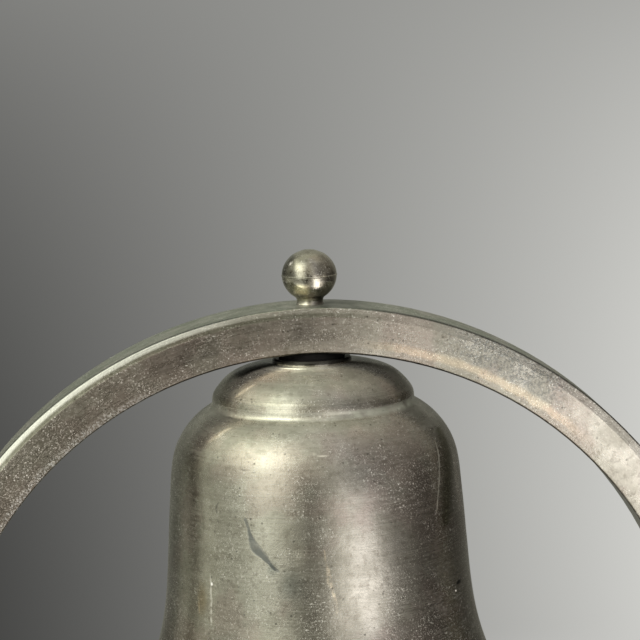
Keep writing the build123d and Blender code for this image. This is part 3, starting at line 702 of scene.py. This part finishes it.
# Soft upright lights in it: azimuth at row 0 and at row 6, half width at both, and the strength at rows 0 to 6.
# Azimuths are in degrees from the camera's side, + to the right.
TENT_STRIPS = (
    ((-99, -99), (24, 24), (1.02, 0.95, 0.46, 0.40, 0.27, 0.40, 1.00)),
    ((-54, -54), (19, 29), (1.60, 0.63, 0.33, 0.40, 0.55, 0.84, 2.60)),
    ((-26, -42), (18, 18), (0.22, 0.05, 0.02, 0.86, 1.13, 0.76, 0.40)),
    ((36, 12), (18, 14), (2.25, 2.40, 2.06, 1.07, 0.48, 0.12, 0.05)),
    ((4, 4), (10, 10), (0.15, 0.60, 0.22, 0.22, 0.06, 0.00, 0.05)),
    ((55, 55), (19, 19), (0.20, 0.24, 0.08, 0.14, 0.22, 0.09, 0.00)),
    ((6, 6), (32, 32), (0.05, 0.00, 0.00, 0.00, 0.03, 0.30, 0.30)),
    ((180, 180), (45, 45), (0.12, 0.16, 0.14, 0.14, 0.15, 0.28, 0.19)),
)
STRIP_TOP_ROW = 6
STRIP_EDGE = 3  # the higher, the flatter a strip is in its middle and the steeper at its edges
# Small bright lamps in it: azimuth, elevation, half width in degrees, strength.
TENT_LAMPS = ((-119, 40, 3.0, 11.0),)
TENT_TINTS = ((-180, (1.00, 1.02, 0.85)), (-100, (1.00, 1.03, 0.85)), (-40, (1.00, 1.04, 0.93)),
              (-5, (1.00, 0.98, 0.84)), (28, (1.00, 0.98, 1.00)), (60, (1.00, 0.965, 0.90)),
              (100, (1.00, 0.93, 0.80)), (180, (1.00, 1.02, 0.85)))


def eased(share):
    return share * share * (3 - 2 * share)


def at_row(values, row):
    """A value between two rows; past the last one it fades out."""
    low = int(row)
    lower, upper = (values[k] if k < len(values) else 0.0 for k in (low, low + 1))
    return lower + (upper - lower) * eased(row - low)


def tent_colour(azimuth, row):
    """The tent's colour at an azimuth in degrees and at a row, which may lie between two."""
    glow = at_row(TENT_EVEN, row)
    climb = min(row / STRIP_TOP_ROW, 1.0)
    for (low_azimuth, high_azimuth), (low_half, high_half), strengths in TENT_STRIPS:
        middle = low_azimuth + (high_azimuth - low_azimuth) * climb
        half = low_half + (high_half - low_half) * climb
        away = abs((azimuth - middle + 180) % 360 - 180)
        glow += at_row(strengths, row) * math.exp(-((away / half) ** STRIP_EDGE))
    after = next(k for k, (a, _) in enumerate(TENT_TINTS) if a >= azimuth and k > 0)
    (a0, tint0), (a1, tint1) = TENT_TINTS[after - 1], TENT_TINTS[after]
    share = (azimuth - a0) / (a1 - a0)
    return [glow * (c0 * (1 - share) + c1 * share) for c0, c1 in zip(tint0, tint1)]


def lamp_glow(azimuth, elevation):
    total = 0.0
    for lamp_azimuth, lamp_elevation, half, strength in TENT_LAMPS:
        across = ((azimuth - lamp_azimuth + 180) % 360 - 180) * math.cos(math.radians(lamp_elevation))
        total += strength * math.exp(-((across / half) ** 2 + ((elevation - lamp_elevation) / half) ** 2))
    return total


def tent():
    """A dome with a floor, seen only in the metal: its colour is painted on its corners."""
    outline = [(radius, TENT_FLOOR_Z) for radius, _ in TENT_FLOOR]
    rows = [row for _, row in TENT_FLOOR]
    elevations = [-90.0] * len(rows)
    for (e0, row0), (e1, row1) in zip(TENT_WALL, TENT_WALL[1:]):
        parts = max(1, round((e1 - e0) / TENT_STEP))
        for k in range(parts):
            elevations.append(e0 + (e1 - e0) * k / parts)
            rows.append(row0 + (row1 - row0) * k / parts)
            angle = math.radians(elevations[-1])
            outline.append((TENT_R * math.cos(angle), TENT_Z + TENT_R * math.sin(angle)))
    outline.append((0.5 * MM, TENT_Z + TENT_R))
    rows.append(TENT_WALL[-1][1])
    elevations.append(90.0)
    g = Graph("tent")
    paint = g.node("ShaderNodeVertexColor", layer_name="glow")
    emission = g.node("ShaderNodeEmission")
    g.put(emission.inputs["Color"], paint.outputs["Color"])
    g.tree.links.new(emission.outputs[0], g.output.inputs[0])
    made = lathe("tent", outline, TENT_TURNS, g.material)
    glow = made.data.color_attributes.new(name="glow", type="FLOAT_COLOR", domain="POINT")
    for step in range(TENT_TURNS):
        azimuth = (360 * step / TENT_TURNS + 180) % 360 - 180
        for k, row in enumerate(rows):
            extra = lamp_glow(azimuth, elevations[k])
            colour = [channel + extra for channel in tent_colour(azimuth, row)]
            glow.data[step * len(rows) + k].color = (*colour, 1.0)
    glossy_only(made)


tent()


def lamp(name, place, target, size, power, tint):
    data = bpy.data.lights.new(name, "AREA")
    data.shape = "RECTANGLE"
    data.size, data.size_y = size
    data.energy = power
    data.color = tint
    made = bpy.data.objects.new(name, data)
    made.location = place
    made.rotation_mode = "QUATERNION"
    made.rotation_quaternion = (Vector(target) - Vector(place)).to_track_quat("-Z", "Y")
    made.visible_camera = False
    made.visible_glossy = False
    bpy.context.scene.collection.objects.link(made)


lamp("key", (-0.9, -1.0, 1.3), (0, 0, 0.08), (0.9, 0.9), 26.0, (1.0, 0.99, 0.95))
lamp("fill", (1.3, -0.7, 0.9), (0, 0, 0.08), (1.2, 1.2), 10.0, (1.0, 0.96, 0.95))

world = bpy.data.worlds.new("world")
world.use_nodes = True
sky = world.node_tree.nodes["Background"]
sky.inputs["Color"].default_value = (0.9, 0.92, 0.95, 1.0)
sky.inputs["Strength"].default_value = 0.35
bpy.context.scene.world = world
bpy.context.scene.view_settings.view_transform = "Standard"
